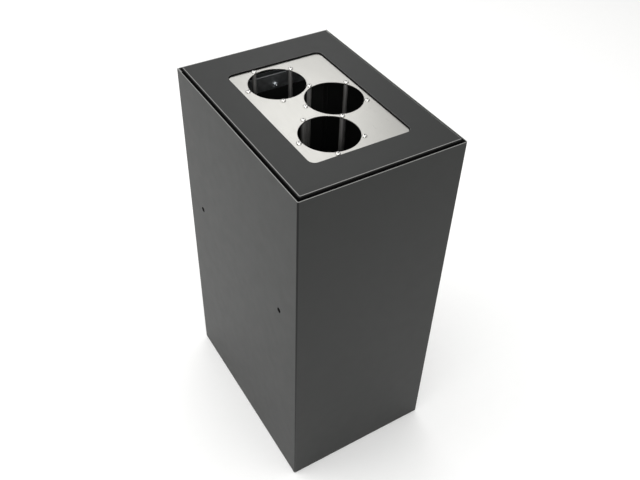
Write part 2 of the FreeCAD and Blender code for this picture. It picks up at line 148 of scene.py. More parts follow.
class StationStage(bpy.types.PropertyGroup):
    """Floor, lights and camera."""
    floor_size: length_property("Floor", "Width and depth of the floor", 24.0)
    floor_colour: colour_property("Floor colour", "Matt studio floor", 0xFCFCFB)
    sky: bpy.props.FloatProperty(
        name="Surround", description="Brightness of the white surround", min=0, default=0.52)
    overhead_power: bpy.props.FloatProperty(
        name="Overhead softbox", description="Power of the softbox above", subtype="POWER",
        min=0, default=140.0)
    side_power: bpy.props.FloatProperty(
        name="Side softbox", description="Power of the softbox on the left", subtype="POWER",
        min=0, default=14.0)
    rear_power: bpy.props.FloatProperty(
        name="Rear softbox", description="Power of the softbox that the plate mirrors",
        subtype="POWER", min=0, default=1.8)
    front_power: bpy.props.FloatProperty(
        name="Front softbox", description="Power of the softbox that shines into the openings",
        subtype="POWER", min=0, default=30.0)
    azimuth: bpy.props.FloatProperty(
        name="Azimuth", description="Camera's turn about Z from straight in front",
        subtype="ANGLE", default=math.radians(-32.71))
    elevation: bpy.props.FloatProperty(
        name="Elevation", description="Camera's angle above the horizon", subtype="ANGLE",
        default=math.radians(42.42))
    roll: bpy.props.FloatProperty(
        name="Roll", description="Camera's turn about its own axis", subtype="ANGLE",
        default=math.radians(2.24))
    distance: bpy.props.FloatProperty(
        name="Distance", description="Camera to its target", unit="LENGTH", min=0, default=1.592)
    target: bpy.props.FloatVectorProperty(
        name="Target", description="Point that the camera looks at", subtype="TRANSLATION",
        size=3, default=(0.0464, 0.0371, 0.375))
    lens: bpy.props.FloatProperty(
        name="Lens", description="Focal length in millimetres on a 36 mm wide sensor", min=1,
        default=42.41)


# Materials

def add_node(material, kind, inputs=(), **settings):
    """Adds a node, sets its properties, and gives its inputs values, or links as (node, output)."""
    node = material.node_tree.nodes.new(kind)
    for name, value in settings.items():
        setattr(node, name, value)
    for name, value in dict(inputs).items():
        if isinstance(value, tuple) and isinstance(value[0], bpy.types.Node):
            material.node_tree.links.new(value[0].outputs[value[1]], node.inputs[name])
        else:
            node.inputs[name].default_value = value
    return node


def new_material(name, colour):
    """A material with a bare Principled shader, and its object coordinates."""
    material = bpy.data.materials.new(name)
    material.use_nodes = True
    material.node_tree.nodes.clear()
    material.diffuse_color = (*colour, 1)
    coordinates = add_node(material, "ShaderNodeTexCoord")
    return material, (coordinates, "Object")


def finish_shader(material, inputs, **settings):
    shader = add_node(material, "ShaderNodeBsdfPrincipled", inputs, **settings)
    add_node(material, "ShaderNodeOutputMaterial", {"Surface": (shader, "BSDF")})
    return material


def waves_per_metre(millimetres):
    """Texture scale that makes a noise's lumps about this wide."""
    return 1 / (millimetres * MM)


def varied_colour(material, coordinates, colour, spread, lump):
    """A colour that wanders by a small share either way, in lumps of that many millimetres."""
    cloud = add_node(material, "ShaderNodeTexNoise", {
        "Vector": coordinates, "Scale": waves_per_metre(lump), "Detail": 3.0})
    low = [channel * (1 - spread) for channel in colour] + [1]
    high = [min(1, channel * (1 + spread)) for channel in colour] + [1]
    mixed = add_node(material, "ShaderNodeMix", {0: (cloud, "Fac"), 6: low, 7: high},
                     data_type="RGBA")
    return (mixed, 2)


def varied_value(material, coordinates, low, high, lump, detail=3.0):
    """A number that wanders between two limits, in lumps of that many millimetres."""
    cloud = add_node(material, "ShaderNodeTexNoise", {
        "Vector": coordinates, "Scale": waves_per_metre(lump), "Detail": detail})
    ranged = add_node(material, "ShaderNodeMapRange", {
        "Value": (cloud, "Fac"), "From Min": 0.3, "From Max": 0.7,
        "To Min": low, "To Max": high})
    return (ranged, "Result")


def powder_coat(finishes):
    """Polyester powder coat on sheet steel, sprayed and baked.

    The eye sees a near-black warm grey with a broad satin sheen, and a faint unevenness where
    the film has flowed. A paler colour is painted along the rims and the lid's fold as a
    highlight, and a near-black colour on the bends and the lid's turned-down edges as painted
    shade. Its grit of about 0.3 mm is drawn at 0.9 mm, the finest that shows.
    """
    colour = finishes.powder_coat
    material, place = new_material("powder_coated_steel_satin", colour)
    peel = add_node(material, "ShaderNodeTexNoise", {
        "Vector": place, "Scale": waves_per_metre(3.0), "Detail": 2.0})
    flowed = add_node(material, "ShaderNodeBump", {
        "Height": (peel, "Fac"), "Strength": 0.12, "Distance": 0.10 * MM})
    grit = add_node(material, "ShaderNodeTexNoise", {
        "Vector": place, "Scale": waves_per_metre(0.9), "Detail": 2.0})
    sanded = add_node(material, "ShaderNodeBump", {
        "Height": (grit, "Fac"), "Strength": 0.22, "Distance": 0.05 * MM,
        "Normal": (flowed, "Normal")})
    # Painted shade: a near-black coat is mixed in on the faces marked at the bends and the lid's
    # turned-down edges
    gathered = add_node(material, "ShaderNodeAttribute", attribute_name=PAINTED_LIGHT)
    shaded_bends = add_node(material, "ShaderNodeMix", {
        0: (gathered, "Fac"), 6: varied_colour(material, place, colour, 0.03, 60.0),
        7: [*finishes.bend_shade, 1]}, data_type="RGBA")
    # Painted highlight: the paler coat is mixed in on the faces marked along the rims and the lid's
    # fold
    rubbed = add_node(material, "ShaderNodeAttribute", attribute_name=PAINTED_HIGHLIGHT)
    highlighted_colour = add_node(material, "ShaderNodeMix", {
        0: (rubbed, "Fac"), 6: (shaded_bends, 2), 7: [*finishes.edge_highlight, 1]}, data_type="RGBA")
    return finish_shader(material, {
        "Base Color": (highlighted_colour, 2),
        "Roughness": varied_value(material, place, 0.43, 0.46, 25.0),
        "IOR": 1.32, "Metallic": 0.0, "Normal": (sanded, "Normal")})


def brushed_stainless(finishes):
    """Stainless steel sheet, brushed along its length with a fine belt.

    The eye sees a soft bright grey with a slightly warm cast, blurred along the brush lines.
    The 0.1 mm scratches are drawn 0.8 mm apart, the finest that shows.
    """
    colour = finishes.brushed_steel
    material, place = new_material("brushed_stainless_steel", colour)
    stretched = add_node(material, "ShaderNodeMapping", {
        "Vector": place,
        "Scale": (waves_per_metre(0.8), waves_per_metre(45.0), waves_per_metre(0.8))})
    lines = add_node(material, "ShaderNodeTexNoise", {
        "Vector": (stretched, "Vector"), "Scale": 1.0, "Detail": 4.0, "Roughness": 0.6})
    roughness = add_node(material, "ShaderNodeMapRange", {
        "Value": (lines, "Fac"), "From Min": 0.3, "From Max": 0.7,
        "To Min": 0.27, "To Max": 0.37})
    scratched = add_node(material, "ShaderNodeBump", {
        "Height": (lines, "Fac"), "Strength": 0.10, "Distance": 0.03 * MM})
    return finish_shader(material, {
        "Base Color": varied_colour(material, place, colour, 0.03, 35.0),
        "Metallic": 1.0, "Roughness": (roughness, "Result"), "Normal": (scratched, "Normal")})


def polished_stainless(finishes):
    """Drawn stainless bar and formed screws, tumbled bright.

    The eye sees clear but slightly softened reflections, with faint marks of about 2 mm, and
    sockets darkened with a painted shade.
    """
    colour = finishes.polished_steel
    material, place = new_material("polished_stainless_steel", colour)
    marks = add_node(material, "ShaderNodeTexNoise", {
        "Vector": place, "Scale": waves_per_metre(2.0), "Detail": 3.0})
    tumbled = add_node(material, "ShaderNodeBump", {
        "Height": (marks, "Fac"), "Strength": 0.08, "Distance": 0.03 * MM})
    # Painted shade: the dark socket colour is mixed in on the faces marked in the sockets
    gathered = add_node(material, "ShaderNodeAttribute", attribute_name=PAINTED_LIGHT)
    shaded_socket_colour = add_node(material, "ShaderNodeMix", {
        0: (gathered, "Fac"), 6: varied_colour(material, place, colour, 0.03, 20.0),
        7: [*finishes.socket_shade, 1]}, data_type="RGBA")
    return finish_shader(material, {
        "Base Color": (shaded_socket_colour, 2),
        "Metallic": 1.0, "Roughness": varied_value(material, place, 0.18, 0.28, 12.0),
        "Normal": (tumbled, "Normal")})


def ground_bar(finishes):
    """Stainless bar, centreless ground to a satin finish.

    The eye sees a soft vertical band of light on each rod, with rings of about 1.5 mm left by
    the wheel, drawn three times as coarse as they are.
    """
    colour = finishes.polished_steel
    material, place = new_material("ground_stainless_bar", colour)
    squeezed = add_node(material, "ShaderNodeMapping", {
        "Vector": place,
        "Scale": (waves_per_metre(12.0), waves_per_metre(12.0), waves_per_metre(1.5))})
    rings = add_node(material, "ShaderNodeTexNoise", {
        "Vector": (squeezed, "Vector"), "Scale": 1.0, "Detail": 2.0})
    ground = add_node(material, "ShaderNodeBump", {
        "Height": (rings, "Fac"), "Strength": 0.12, "Distance": 0.02 * MM})
    return finish_shader(material, {
        "Base Color": varied_colour(material, place, colour, 0.03, 30.0),
        "Metallic": 1.0, "Roughness": varied_value(material, place, 0.44, 0.52, 20.0),
        "Normal": (ground, "Normal")})


def zinc_plated(finishes):
    """Steel with electroplated bright zinc.

    The eye sees a cool, slightly cloudy metal with patches of about 8 mm where the passivated
    surface is duller, and a painted highlight along the angle's top fold, where the metal turns
    to a pale, diffuse colour.
    """
    colour = finishes.zinc
    material, place = new_material("zinc_plated_steel", colour)
    marks = add_node(material, "ShaderNodeTexNoise", {
        "Vector": place, "Scale": waves_per_metre(1.5), "Detail": 2.0})
    pitted = add_node(material, "ShaderNodeBump", {
        "Height": (marks, "Fac"), "Strength": 0.15, "Distance": 0.04 * MM})
    # Painted highlight: metallic drops on the marked faces, so the pale zinc colour shows as a
    # bright diffuse line
    gathered = add_node(material, "ShaderNodeAttribute", attribute_name=PAINTED_LIGHT)
    zinc_edge_metallic = add_node(material, "ShaderNodeMapRange", {
        "Value": (gathered, "Fac"), "To Min": 1.0, "To Max": 0.1})
    return finish_shader(material, {
        "Base Color": varied_colour(material, place, colour, 0.10, 8.0),
        "Metallic": (zinc_edge_metallic, "Result"),
        "Roughness": varied_value(material, place, 0.38, 0.55, 8.0),
        "Normal": (pitted, "Normal")})


def moulded_polypropylene(finishes):
    """Polypropylene, injection moulded in a lightly sparked tool.

    The eye sees a waxy mid grey with a fine matt grain of about 0.8 mm.
    """
    colour = finishes.tray_plastic
    material, place = new_material("moulded_polypropylene", colour)
    grain = add_node(material, "ShaderNodeTexNoise", {
        "Vector": place, "Scale": waves_per_metre(0.8), "Detail": 2.0})
    sparked = add_node(material, "ShaderNodeBump", {
        "Height": (grain, "Fac"), "Strength": 0.3, "Distance": 0.05 * MM})
    return finish_shader(material, {
        "Base Color": varied_colour(material, place, colour, 0.04, 50.0),
        "Roughness": varied_value(material, place, 0.45, 0.55, 25.0),
        "IOR": 1.49, "Normal": (sparked, "Normal")})


def moulded_nylon(finishes):
    """Black nylon glides, moulded and scuffed a little where they slide.

    The eye sees a dull black with paler, rougher patches of about 5 mm.
    """
    colour = finishes.foot_plastic
    material, place = new_material("moulded_nylon", colour)
    scuffs = add_node(material, "ShaderNodeTexNoise", {
        "Vector": place, "Scale": waves_per_metre(1.2), "Detail": 4.0})
    scuffed = add_node(material, "ShaderNodeBump", {
        "Height": (scuffs, "Fac"), "Strength": 0.25, "Distance": 0.06 * MM})
    return finish_shader(material, {
        "Base Color": varied_colour(material, place, colour, 0.25, 5.0),
        "Roughness": varied_value(material, place, 0.50, 0.68, 5.0),
        "IOR": 1.53, "Normal": (scuffed, "Normal")})


def buffer_rubber(finishes):
    """Moulded rubber bumpers.

    The eye sees a matt black with almost no highlight and a faint bloom in 3 mm patches.
    """
    colour = finishes.buffer_rubber
    material, place = new_material("moulded_rubber", colour)
    skin = add_node(material, "ShaderNodeTexNoise", {
        "Vector": place, "Scale": waves_per_metre(0.7), "Detail": 2.0})
    moulded = add_node(material, "ShaderNodeBump", {
        "Height": (skin, "Fac"), "Strength": 0.2, "Distance": 0.04 * MM})
    return finish_shader(material, {
        "Base Color": varied_colour(material, place, colour, 0.3, 3.0),
        "Roughness": varied_value(material, place, 0.72, 0.85, 3.0),
        "IOR": 1.52, "Normal": (moulded, "Normal")})


FINISHES = {
    "powder_coated_steel": powder_coat,
    "brushed_stainless": brushed_stainless,
    "bright_stainless": polished_stainless,
    "ground_bar": ground_bar,
    "zinc_plated_steel": zinc_plated,
    "grey_polypropylene": moulded_polypropylene,
    "black_nylon": moulded_nylon,
    "black_rubber": buffer_rubber,
}


def material_for(finish):
    """The material of one of the finishes, made the first time it is asked for."""
    for material in bpy.data.materials:
        if material.get("station_finish") == finish:
            return material
    material = FINISHES[finish](bpy.context.scene.station_finishes)
    material["station_finish"] = finish
    return material


# Places read from the construction

def node_slot(node):
    """The material slot that the record gives a node."""
    for subpart in frame["record"]["subparts"]:
        if subpart["node"] == node:
            return subpart["material_slot"]
    raise ValueError("no material slot for " + node)


def node_body(node):
    for body, members in frame["record"]["behaviour"]["bodies"].items():
        if node in members:
            return body
    raise ValueError("no body for " + node)


def merged_copy(node):
    """A node's mesh as a bmesh, with its loose triangles joined."""
    model = bmesh.new()
    model.from_mesh(frame["nodes"][node].data)
    bmesh.ops.remove_doubles(model, verts=model.verts[:], dist=WELD)
    return model


def solids_of(node):
    """The lowest and highest corner of each separate solid in a node."""
    model = merged_copy(node)
    waiting = set(model.verts)
    solids = []
    while waiting:
        found = {waiting.pop()}
        edge_of_search = list(found)
        while edge_of_search:
            vertex = edge_of_search.pop()
            for edge in vertex.link_edges:
                other = edge.other_vert(vertex)
                if other not in found:
                    found.add(other)
                    edge_of_search.append(other)
        waiting -= found
        low = Vector(min(vertex.co[axis] for vertex in found) for axis in range(3))
        high = Vector(max(vertex.co[axis] for vertex in found) for axis in range(3))
        solids.append((low, high))
    model.free()
    return sorted(solids, key=lambda solid: tuple(round(value, 5) for value in solid[0]))


def middle(low, high):
    return (low + high) / 2


def rod_places():
    """The middle of each guide rod, in plan."""
    places = []
    for node in RODS:
        centre = middle(*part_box(node))
        places.append((centre.x, centre.y))
    return places


def channel_places():
    """The middle of each cup channel, in plan."""
    places = []
    for opening in frame["record"]["physics"]["openings"]:
        if opening["name"] in CHANNELS:
            low, high = opening["box_m"]
            places.append(((low[0] + high[0]) / 2, (low[1] + high[1]) / 2))
    return places


# Modelling

def rounded_rectangle(model, low, high, radius, z, segments=8):
    """A face with rounded corners at height z, and its outline's edges."""
    before = set(model.faces)
    square = bmesh.ops.create_grid(model, x_segments=1, y_segments=1, size=0.5)["verts"]
    bmesh.ops.scale(model, vec=(high.x - low.x, high.y - low.y, 1), verts=square)
    bmesh.ops.translate(model, vec=((low.x + high.x) / 2, (low.y + high.y) / 2, z), verts=square)
    bmesh.ops.bevel(model, geom=square, offset=radius, offset_type="OFFSET", segments=segments,
                    profile=0.5, affect="VERTICES", material=-1)
    face = next(face for face in model.faces if face not in before)
    return face, face.edges[:]


def ring(model, x, y, z, radius, segments):
    """A round loop of edges at height z."""
    made = bmesh.ops.create_circle(model, cap_ends=False, radius=radius, segments=segments,
                                   matrix=Matrix.Translation((x, y, z)))
    return edges_among(made["verts"])


def edges_among(vertices):
    """The edges that run between these vertices."""
    chosen = set(vertices)
    found = set()
    for vertex in vertices:
        for edge in vertex.link_edges:
            if edge.other_vert(vertex) in chosen:
                found.add(edge)
    return list(found)


def round_off(model, edges, radius, segments):
    bmesh.ops.bevel(model, geom=edges, offset=radius, offset_type="OFFSET", segments=segments,
                    profile=0.5, affect="EDGES", clamp_overlap=True, material=-1)


def sharp_edges(model, least=60):
    """The edges that turn by more than this many degrees."""
    found = []
    for edge in model.edges:
        if edge.is_manifold and edge.calc_face_angle() > math.radians(least):
            found.append(edge)
    return found


def turned(model, profile, segments):
    """A solid of revolution about Z from (radius, height) points, ending on the axis."""
    line = [model.verts.new((radius, 0, height)) for radius, height in profile]
    edges = [model.edges.new(pair) for pair in zip(line, line[1:])]
    bmesh.ops.spin(model, geom=line + edges, cent=(0, 0, 0), axis=(0, 0, 1),
                   angle=2 * math.pi, steps=segments, use_merge=True)


def as_mesh(model, name):
    mesh = bpy.data.meshes.new(name)
    model.to_mesh(mesh)
    model.free()
    return mesh


def repeat(model_mesh, matrices, name):
    """One mesh with a copy of another at each matrix."""
    model = bmesh.new()
    for matrix in matrices:
        before = len(model.verts)
        model.from_mesh(model_mesh)
        model.verts.ensure_lookup_table()
        bmesh.ops.transform(model, matrix=matrix, verts=model.verts[before:])
    bpy.data.meshes.remove(model_mesh)
    return as_mesh(model, name)


def shade_sheet(mesh):
    """Flat shading on the flats of a sheet, and smooth on its bends and rounded edges."""
    for polygon in mesh.polygons:
        polygon.use_smooth = max(abs(part) for part in polygon.normal) < FLAT


def mark_faces(mesh, attribute, chosen):
    """Gives an attribute the value 1 on the chosen faces and 0 on the rest."""
    layer = mesh.attributes.new(attribute, "FLOAT", "FACE")
    for polygon in mesh.polygons:
        layer.data[polygon.index].value = float(chosen(polygon))


def shade_turned(mesh, angle=35):
    """Smooth shading apart from edges that turn by more than this many degrees."""
    mesh.shade_smooth()
    mesh.set_sharp_from_angle(angle=math.radians(angle))


def place_piece(mesh, node, finish=None):
    """An object for a finished mesh that stands for a node and moves with its body."""
    piece = bpy.data.objects.new(mesh.name, mesh)
    bpy.context.scene.collection.objects.link(piece)
    slot = node_slot(node)
    mesh.materials.append(material_for(finish or slot))
    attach(piece, node_body(node))
    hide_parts(node)
    return piece


def drilled_sheet(outline_low, outline_high, corner, holes, top, thickness, edge):
    """A flat plate with a rounded outline and round holes of (x, y, diameter, segments)."""
    model = bmesh.new()
    face, edges = rounded_rectangle(model, outline_low, outline_high, corner, top)
    bmesh.ops.delete(model, geom=[face], context="FACES_ONLY")
    for x, y, diameter, segments in holes:
        edges += ring(model, x, y, top, diameter / 2, segments)
    bmesh.ops.triangle_fill(model, edges=edges, use_beauty=True, normal=(0, 0, 1))
    bmesh.ops.recalc_face_normals(model, faces=model.faces[:])
    if model.faces[:][0].normal.z < 0:
        bmesh.ops.reverse_faces(model, faces=model.faces[:])
    bmesh.ops.solidify(model, geom=model.faces[:], thickness=thickness)
    round_off(model, sharp_edges(model), edge, 2)
    return model


def build_casing(sizes):
    """The sheet folded round the front and both sides, with the link holes in its left side."""
    low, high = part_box("casing_wrap")
    model = bmesh.new()
    corners = [(low.x, high.y), (low.x, low.y), (high.x, low.y), (high.x, high.y)]
    line = [model.verts.new((x, y, low.z)) for x, y in corners]
    for pair in zip(line, line[1:]):
        model.edges.new(pair)
    bmesh.ops.bevel(model, geom=line[1:3], offset=sizes.casing_bend, offset_type="OFFSET",
                    segments=10, profile=0.5, affect="VERTICES", material=-1)
    risen = bmesh.ops.extrude_edge_only(model, edges=model.edges[:])["geom"]
    upper = [item for item in risen if isinstance(item, bmesh.types.BMVert)]
    bmesh.ops.translate(model, vec=(0, 0, high.z - low.z), verts=upper)
    model.normal_update()
    left = max((face for face in model.faces if abs(face.normal.x) > FLAT
                and face.calc_center_median().x < 0), key=lambda face: face.calc_area())
    outline = left.edges[:]
    bmesh.ops.delete(model, geom=[left], context="FACES_ONLY")
    mount = frame["record"]["mounts"][0]
    reach = mount["dims"]["spacing_x_mm"] * MM / 2
    turn = Matrix.Rotation(math.radians(90), 4, "Y")
    for side in (-1, 1):
        spot = Matrix.Translation((low.x, mount["pos_m"][1] + side * reach, mount["pos_m"][2]))
        made = bmesh.ops.create_circle(model, cap_ends=False, segments=40, matrix=spot @ turn,
                                       radius=mount["dims"]["hole_r_mm"] * MM)
        outline += edges_among(made["verts"])
    bmesh.ops.triangle_fill(model, edges=outline, use_beauty=True, normal=(-1, 0, 0))
    bmesh.ops.recalc_face_normals(model, faces=model.faces[:])
    if faces_inwards(model, Vector((0, 0, (low.z + high.z) / 2))):
        bmesh.ops.reverse_faces(model, faces=model.faces[:])
    bmesh.ops.solidify(model, geom=model.faces[:], thickness=sizes.sheet)
    round_off(model, sharp_edges(model), sizes.cut_edge, 3)
    mesh = as_mesh(model, "casing_wrap_coated")
    shade_sheet(mesh)
    rim = high.z - sizes.cut_edge
    # Painted highlight along the casing's rim
    mark_faces(mesh, PAINTED_HIGHLIGHT, lambda face: face.center.z > rim)
    # Painted shade down the casing's bends
    mark_faces(mesh, PAINTED_LIGHT, lambda face: face.center.z < rim and bend_share(face) > 0.3)
    return place_piece(mesh, "casing_wrap")


def bend_share(face):
    """How far an upright face is turned between the two walls that meet at a bend."""
    return min(abs(face.normal.x), abs(face.normal.y))


def faces_inwards(model, centre):
    """Whether an open shell's largest face looks at this point."""
    model.normal_update()
    largest = max(model.faces, key=lambda face: face.calc_area())
    return largest.normal.dot(largest.calc_center_median() - centre) < 0


def build_rear_panel(sizes):
    """The rear sheet, with an edge folded forward at each side that stops above the base pan."""
    low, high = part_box("rear_panel")
    flange_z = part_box("base_pan")[1].z + sizes.sheet
    notch = sizes.fold + sizes.sheet
    left, right = low.x + notch, high.x - notch
    flat = [(left, high.y), (right, high.y)]
    folded = [(low.x, low.y), (low.x, high.y)] + flat + [(high.x, high.y), (high.x, low.y)]
    model = bmesh.new()
    for points, bottom, top in ((flat, low.z, flange_z), (folded, flange_z, high.z)):
        line = [model.verts.new((x, y, bottom)) for x, y in points]
        edges = [model.edges.new(pair) for pair in zip(line, line[1:])]
        risen = bmesh.ops.extrude_edge_only(model, edges=edges)["geom"]
        upper = [item for item in risen if isinstance(item, bmesh.types.BMVert)]
        bmesh.ops.translate(model, vec=(0, 0, top - bottom), verts=upper)
    bends = [edge for edge in model.edges if edge.is_manifold and edge.calc_face_angle() > 1]
    round_off(model, bends, sizes.fold, 8)
    bmesh.ops.remove_doubles(model, verts=model.verts[:], dist=WELD)
    bmesh.ops.recalc_face_normals(model, faces=model.faces[:])
    if faces_inwards(model, Vector((0, 0, (low.z + high.z) / 2))):
        bmesh.ops.reverse_faces(model, faces=model.faces[:])
    bmesh.ops.solidify(model, geom=model.faces[:], thickness=sizes.sheet)
    round_off(model, sharp_edges(model), sizes.cut_edge, 2)
    mesh = as_mesh(model, "rear_panel_coated")
    shade_sheet(mesh)
    # Painted highlight along the rear panel's top edge
    mark_faces(mesh, PAINTED_HIGHLIGHT, lambda face: face.center.z > high.z - sizes.cut_edge)
    return place_piece(mesh, "rear_panel")


def build_lid(sizes):
    """The lid: a flat frame with turned-down edges, and a collar round the opening."""
    low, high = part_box("lid_frame")
    plate_low, plate_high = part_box("top_plate")
    gap = Vector((sizes.plate_gap, sizes.plate_gap, 0))
    model = bmesh.new()
    outer, outer_edges = rounded_rectangle(model, low, high, sizes.lid_corner, high.z)
    inner, inner_edges = rounded_rectangle(model, plate_low - gap, plate_high + gap,
                                           sizes.opening_corner, high.z)
    bmesh.ops.delete(model, geom=[outer, inner], context="FACES_ONLY")
    bmesh.ops.bridge_loops(model, edges=outer_edges + inner_edges)
    for edges, drop in ((outer_edges, high.z - low.z), (inner_edges, sizes.collar)):
        risen = bmesh.ops.extrude_edge_only(model, edges=edges)["geom"]
        lower = [item for item in risen if isinstance(item, bmesh.types.BMVert)]
        bmesh.ops.translate(model, vec=(0, 0, -drop), verts=lower)
    bmesh.ops.recalc_face_normals(model, faces=model.faces[:])
    if faces_inwards(model, Vector((0, 0, low.z))):
        bmesh.ops.reverse_faces(model, faces=model.faces[:])
    round_off(model, [edge for edge in outer_edges if edge.is_valid], sizes.lid_edge, 8)
    round_off(model, [edge for edge in inner_edges if edge.is_valid], sizes.cut_edge, 3)
    bmesh.ops.solidify(model, geom=model.faces[:], thickness=sizes.sheet)
    mesh = as_mesh(model, "lid_frame_coated")
    shade_sheet(mesh)
    # Painted highlight on the lid's outer fold
    mark_faces(mesh, PAINTED_HIGHLIGHT, lambda face: face.center.z > high.z - sizes.sheet
              and 0.85 < face.normal.z < 0.97)
    # Painted shade on the lid's turned-down edge and the collar round its opening
    mark_faces(mesh, PAINTED_LIGHT, lambda face: abs(face.normal.z) < 0.85)
    return place_piece(mesh, "lid_frame")


def build_plates(sizes):
    """The cage's brushed top plate with the cup openings, and its bottom plate with the drains."""
    corner = sizes.opening_corner - sizes.plate_gap
    screws = [(x, y, sizes.screw_hole, 20) for x, y in rod_places()]
    cups = [(x, y, sizes.cup_opening, 120) for x, y in channel_places()]
    drains = [(x, y, sizes.drain_hole, 48) for x, y in channel_places()]
    pins = []
    for low, high in solids_of("locating_pins"):
        centre = middle(low, high)
        pins.append((centre.x, centre.y, sizes.pin_hole, 24))
    for node, holes in (("top_plate", cups + screws), ("bottom_plate", drains + screws + pins)):
        low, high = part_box(node)
        model = drilled_sheet(low, high, corner, holes, high.z, high.z - low.z, sizes.plate_edge)
        mesh = as_mesh(model, node + "_brushed")
        shade_sheet(mesh)
        place_piece(mesh, node)


def build_rods(sizes):
    """The thirteen guide rods, each with a chamfer and a tapped hole at both ends."""
    bore = sizes.screw_shank / 2
    depth = sizes.rod_tap
    for node in RODS:
        low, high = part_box(node)
        centre = middle(low, high)
        radius = (high.x - low.x) / 2
        chamfer = sizes.rod_chamfer
        length = high.z - low.z
        model = bmesh.new()
        turned(model, [
            (0, length - depth), (bore, length - depth), (bore, length),
            (radius - chamfer, length), (radius, length - chamfer), (radius, chamfer),
            (radius - chamfer, 0), (bore, 0), (bore, depth), (0, depth)], 40)
        tidy_turned(model)
        bmesh.ops.translate(model, vec=(centre.x, centre.y, low.z), verts=model.verts[:])
        mesh = as_mesh(model, node.replace("guide_rod", "polished_rod"))
        shade_turned(mesh)
        place_piece(mesh, node, "ground_bar")


def tidy_turned(model):
    """Closes the poles of a turned solid and points its faces outwards."""
    bmesh.ops.remove_doubles(model, verts=model.verts[:], dist=WELD)
    bmesh.ops.recalc_face_normals(model, faces=model.faces[:])


def screw_mesh(sizes, length):
    """A button-head screw with a hex socket, its seat at the origin and its shank down -Z."""
    sides = 6
    around = 36
    head = sizes.screw_head / 2
    crown = sizes.screw_crown
    shank = sizes.screw_shank / 2
    socket = sizes.socket_flats / math.sqrt(3)
    model = bmesh.new()
    made = bmesh.ops.create_circle(model, cap_ends=False, radius=socket, segments=sides,
                                   matrix=Matrix.Translation((0, 0, crown)))
    rim = edges_among(made["verts"])
    split = bmesh.ops.subdivide_edges(model, edges=rim, cuts=around // sides - 1)
    rim = [item for item in split["geom"] if isinstance(item, bmesh.types.BMEdge)]
    floor = bmesh.ops.extrude_edge_only(model, edges=rim)["geom"]
    lower = [item for item in floor if isinstance(item, bmesh.types.BMVert)]
    bmesh.ops.translate(model, vec=(0, 0, -sizes.socket_depth), verts=lower)
    bmesh.ops.contextual_create(model, geom=edges_among(lower))
    lip = socket * 1.12
    profile = [(lip, crown)]
    dome = 8
    for step in range(1, dome + 1):
        angle = step / dome * math.radians(72)
        share = math.sin(angle) / math.sin(math.radians(72))
        height = (math.cos(angle) - math.cos(math.radians(72))) / (1 - math.cos(math.radians(72)))
        profile.append((lip + (head - lip) * share, crown * (0.12 + 0.88 * height)))
    profile += [(head, 0), (shank, 0), (shank, 0.0005 - length), (shank - 0.0005, -length)]
    loop = rim
    for radius, height in profile:
        following = ring(model, 0, 0, height, radius, around)
        bmesh.ops.bridge_loops(model, edges=loop + following)
        loop = following
    bmesh.ops.contextual_create(model, geom=loop)
    bmesh.ops.recalc_face_normals(model, faces=model.faces[:])
    mesh = as_mesh(model, "screw")
    shade_turned(mesh, 30)
    return mesh


def in_socket(sizes, face, centres, seat):
    """Whether a face is a wall or the floor of a screw's hex socket."""
    away = min(math.hypot(face.center.x - x, face.center.y - y) for x, y in centres)
    above = abs(face.center.z - seat)
    floor = sizes.screw_crown - sizes.socket_depth
    return (away < sizes.socket_flats / math.sqrt(3)
            and floor - WELD < above < sizes.screw_crown - WELD)


def build_screws(sizes):
    """The button-head screws that hold the rods, from above and from below."""
    over = Matrix.Rotation(math.pi, 4, "X")
    plate_low, plate_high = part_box("top_plate")
    top_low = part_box("top_screws")[0].z
    centres = rod_places()
    seats = (("top_screws", plate_high.z, Matrix.Identity(4)),
             ("bottom_screws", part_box("bottom_plate")[0].z, over))
    for node, seat, turn in seats:
        length = plate_high.z - top_low
        places = []
        for number, (x, y) in enumerate(centres):
            own_turn = Matrix.Rotation(number * SCREW_TURN, 4, "Z")
            places.append(Matrix.Translation((x, y, seat)) @ turn @ own_turn)
        mesh = repeat(screw_mesh(sizes, length), places, node + "_domed")
        # Painted shade in each screw's hex socket
        mark_faces(mesh, PAINTED_LIGHT, lambda face: in_socket(sizes, face, centres, seat))
        place_piece(mesh, node)


